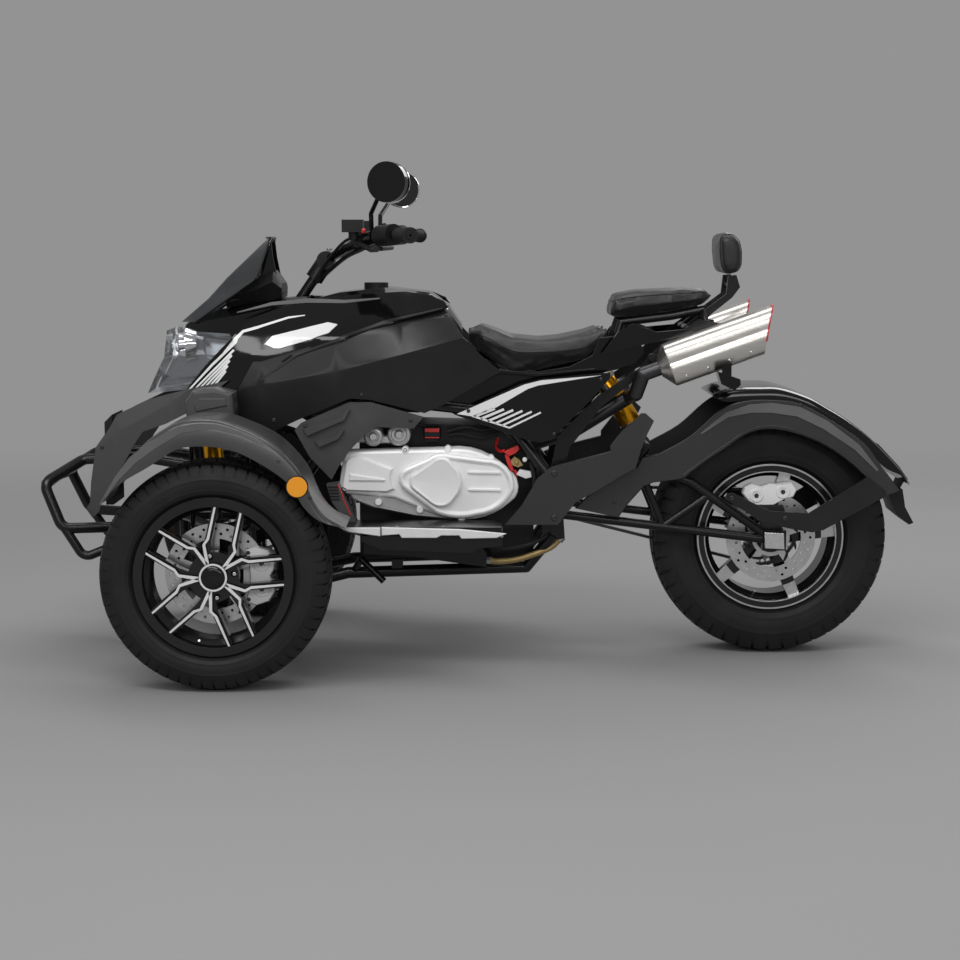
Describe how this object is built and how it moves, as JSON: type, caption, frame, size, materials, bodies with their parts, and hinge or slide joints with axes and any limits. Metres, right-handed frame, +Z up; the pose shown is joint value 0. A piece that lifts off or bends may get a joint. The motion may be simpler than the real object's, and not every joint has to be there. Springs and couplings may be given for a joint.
{
  "type": "motor trike",
  "caption": "Motor trike with steered front wheels, a chain-driven rear wheel, stepped saddle with backrest, wide handlebar, small screen and tube bumper guard.",
  "frame": {"origin": "on the floor, under the middle of the overall length and width", "axes": "+X forwards, +Y to the rider's left, +Z up"},
  "size_m": [2.307, 1.209, 1.2899],
  "materials": {
    "tyre_rubber": "matt moulded rubber with tread",
    "wheel_black": "gloss black cast alloy, drilled steel discs",
    "cast_steel": "painted casting",
    "frame_black": "satin black paint on tube",
    "black_plastic": "textured satin plastic",
    "body_paint": "gloss black paint with white stripes",
    "satin_paint": "satin black paint",
    "carbon_grey": "satin charcoal with a printed twill weave",
    "steel": "machined steel",
    "muffler_steel": "brushed stainless steel",
    "shock_steel": "gold-anodised body over a steel rod",
    "engine_alloy": "cast alloy",
    "lamp_lens": "clear lens over a reflector",
    "clear_screen": "tinted clear sheet",
    "amber_lens": "amber lens",
    "grip_rubber": "ribbed rubber",
    "seat_vinyl": "stitched vinyl over foam"
  },
  "bodies": {
    "chassis": {"backrest_pad": "seat_vinyl", "brake_pedal": "steel", "cvt_cover": "engine_alloy", "drive_chain": "steel", "engine_block": "engine_alloy", "exhaust_pipes": "steel", "fender_stay": "carbon_grey", "foot_panels": "black_plastic", "footboards": "engine_alloy", "front_bumper": "frame_black", "front_cowl": "body_paint", "front_grille": "black_plastic", "fuel_cap": "steel", "grab_rail": "frame_black", "headlight": "lamp_lens", "instrument_cowl": "black_plastic", "main_frame": "frame_black", "mud_flap": "black_plastic", "mufflers": "muffler_steel", "nose_panels": "carbon_grey", "peg_covers": "carbon_grey", "pillion_seat": "seat_vinyl", "rear_caliper": "cast_steel", "rear_fender": "body_paint", "rear_shrouds": "carbon_grey", "rear_side_covers": "body_paint", "rear_subframe": "frame_black", "saddle": "seat_vinyl", "shock_absorbers": "shock_steel", "side_panels": "satin_paint", "side_stand": "frame_black", "suspension_arms": "frame_black", "swingarm": "frame_black", "tank_cover": "body_paint", "turn_signals": "amber_lens", "windscreen": "clear_screen"},
    "left_front_hub": {"left_knuckle": "cast_steel", "left_front_caliper": "cast_steel", "left_front_fender": "carbon_grey"},
    "left_front_roadwheel": {"left_front_tyre": "tyre_rubber", "left_front_wheel": "wheel_black"},
    "left_track_rod": {"left_tie_rod": "frame_black"},
    "right_front_hub": {"right_knuckle": "cast_steel", "right_front_caliper": "cast_steel", "right_front_fender": "carbon_grey"},
    "right_front_roadwheel": {"right_front_tyre": "tyre_rubber", "right_front_wheel": "wheel_black"},
    "right_track_rod": {"right_tie_rod": "frame_black"},
    "handlebar": {"steering_stem": "frame_black", "handlebar_tube": "frame_black", "grips": "grip_rubber", "bar_controls": "black_plastic", "mirrors": "black_plastic"},
    "pitman": {"pitman_arm": "frame_black"},
    "rear_roadwheel": {"rear_tyre": "tyre_rubber", "rear_wheel": "wheel_black", "rear_sprocket": "steel"}
  },
  "joints": [
    {"name": "handlebar_turn", "type": "hinge", "parent": "chassis", "child": "handlebar", "pos_m": [0.65, 0, 0.694], "axis": [-0.5644, 0, 0.8255], "range_deg": [-25, 25]},
    {"name": "pitman_turn", "type": "hinge", "parent": "chassis", "child": "pitman", "pos_m": [0.65, 0, 0.232], "axis": [0, 0, 1], "range_deg": [-25, 25]},
    {"name": "left_kingpin", "type": "hinge", "parent": "chassis", "child": "left_front_hub", "pos_m": [0.65, 0.43, 0.285], "axis": [0, 0, 1], "range_deg": [-25, 25]},
    {"name": "left_front_wheel_spin", "type": "hinge", "parent": "left_front_hub", "child": "left_front_roadwheel", "pos_m": [0.65, 0.4925, 0.285], "axis": [0, 1, 0], "continuous": true},
    {"name": "left_track_rod_pivot", "type": "hinge", "parent": "left_front_hub", "child": "left_track_rod", "pos_m": [0.56, 0.43, 0.24], "axis": [0, 0, 1], "range_deg": [-25, 25]},
    {"name": "right_kingpin", "type": "hinge", "parent": "chassis", "child": "right_front_hub", "pos_m": [0.65, -0.43, 0.285], "axis": [0, 0, 1], "range_deg": [-25, 25]},
    {"name": "right_front_wheel_spin", "type": "hinge", "parent": "right_front_hub", "child": "right_front_roadwheel", "pos_m": [0.65, -0.4925, 0.285], "axis": [0, 1, 0], "continuous": true},
    {"name": "right_track_rod_pivot", "type": "hinge", "parent": "right_front_hub", "child": "right_track_rod", "pos_m": [0.56, -0.43, 0.24], "axis": [0, 0, 1], "range_deg": [-25, 25]},
    {"name": "rear_wheel_spin", "type": "hinge", "parent": "chassis", "child": "rear_roadwheel", "pos_m": [-0.77, 0, 0.314], "axis": [0, 1, 0], "continuous": true}
  ],
  "couplings": [
    {"joint": "pitman_turn", "follows": "handlebar_turn", "ratio": 1},
    {"joint": "left_kingpin", "follows": "handlebar_turn", "ratio": 1},
    {"joint": "left_track_rod_pivot", "follows": "handlebar_turn", "ratio": -1},
    {"joint": "right_kingpin", "follows": "handlebar_turn", "ratio": 1},
    {"joint": "right_track_rod_pivot", "follows": "handlebar_turn", "ratio": -1}
  ]
}
